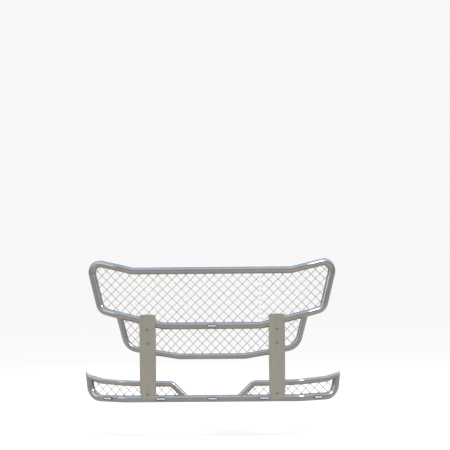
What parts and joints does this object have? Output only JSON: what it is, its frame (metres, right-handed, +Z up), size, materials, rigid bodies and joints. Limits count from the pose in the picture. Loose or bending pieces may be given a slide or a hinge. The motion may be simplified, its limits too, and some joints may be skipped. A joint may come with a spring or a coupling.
{
  "type": "front grille guard",
  "caption": "Stainless tube grille guard for a truck front: meshed upper hoop and loop, wrap-round lower frame, flat posts, marker lamps, and hinged chassis brackets that let it fold forward.",
  "frame": {"origin": "centre of the four-hole chassis bolt pattern, on the rear faces of the two brackets' flanges", "axes": "+X to the right as seen from the front of the truck, -Y forwards away from the truck, +Z up; left nodes are at -X"},
  "size_m": [2.3987, 0.2838, 1.3291],
  "materials": {
    "polished_stainless": "mirror-polished stainless tube",
    "brushed_stainless": "vertically brushed stainless sheet",
    "stainless_wire": "drawn wire, satin",
    "black_painted_steel": "satin black powder coat",
    "zinc_plated_steel": "bright zinc plate",
    "polished_bolt": "stainless cup head",
    "bronze": "sintered bronze",
    "black_rubber": "moulded rubber",
    "clear_lens": "clear moulded lens",
    "lamp_reflector": "metallised reflector body"
  },
  "bodies": {
    "chassis_mounts": {"chassis_bracket_left": "black_painted_steel", "chassis_bracket_right": "black_painted_steel", "hinge_pin_left": "zinc_plated_steel", "hinge_pin_right": "zinc_plated_steel", "hinge_washers": "zinc_plated_steel", "hinge_nuts": "zinc_plated_steel", "lock_boss_left": "zinc_plated_steel", "lock_boss_right": "zinc_plated_steel", "rest_buffer_left": "black_rubber", "rest_buffer_right": "black_rubber", "fold_stop_bolts": "zinc_plated_steel", "fold_stop_nuts": "zinc_plated_steel"},
    "guard": {"bottom_tube": "polished_stainless", "cable_grommet": "black_rubber", "hinge_bush_left": "bronze", "hinge_bush_right": "bronze", "hinge_lugs_left": "black_painted_steel", "hinge_lugs_right": "black_painted_steel", "hoop_bottom_tube": "polished_stainless", "hoop_top_tube": "polished_stainless", "light_bar_tube_left": "polished_stainless", "light_bar_tube_right": "polished_stainless", "lock_socket_left": "black_painted_steel", "lock_socket_right": "black_painted_steel", "loop_mesh": "stainless_wire", "loop_tube": "polished_stainless", "lower_mesh_inner_left": "stainless_wire", "lower_mesh_inner_right": "stainless_wire", "lower_mesh_outer_left": "stainless_wire", "lower_mesh_outer_right": "stainless_wire", "marker_gasket_centre": "black_rubber", "marker_gasket_hoop": "black_rubber", "marker_gasket_inner_left": "black_rubber", "marker_gasket_inner_right": "black_rubber", "marker_gasket_outer_left": "black_rubber", "marker_gasket_outer_right": "black_rubber", "marker_lamp_bodies": "lamp_reflector", "marker_lens_centre": "clear_lens", "marker_lens_hoop": "clear_lens", "marker_lens_inner_left": "clear_lens", "marker_lens_inner_right": "clear_lens", "marker_lens_outer_left": "clear_lens", "marker_lens_outer_right": "clear_lens", "post_back_plate_left": "black_painted_steel", "post_back_plate_right": "black_painted_steel", "post_bolt_spacers": "zinc_plated_steel", "post_bolts": "polished_bolt", "post_cap_left": "brushed_stainless", "post_cap_right": "brushed_stainless", "post_nuts": "zinc_plated_steel", "post_shell_left": "brushed_stainless", "post_shell_right": "brushed_stainless", "post_washers": "zinc_plated_steel", "tube_packers": "black_painted_steel", "upper_mesh_left": "stainless_wire", "upper_mesh_right": "stainless_wire"},
    "lock_left": {"lock_screw_left": "zinc_plated_steel", "lock_tee_left": "zinc_plated_steel"},
    "lock_right": {"lock_screw_right": "zinc_plated_steel", "lock_tee_right": "zinc_plated_steel"}
  },
  "joints": [
    {"name": "guard_fold", "type": "hinge", "parent": "chassis_mounts", "child": "guard", "pos_m": [0, -0.148, -0.15], "axis": [1, 0, 0], "range_deg": [0, 90]},
    {"name": "lock_left_draw", "type": "slide", "parent": "chassis_mounts", "child": "lock_left", "axis": [0, 1, 0], "range_m": [0, 0.025]},
    {"name": "lock_right_draw", "type": "slide", "parent": "chassis_mounts", "child": "lock_right", "axis": [0, 1, 0], "range_m": [0, 0.025]}
  ]
}
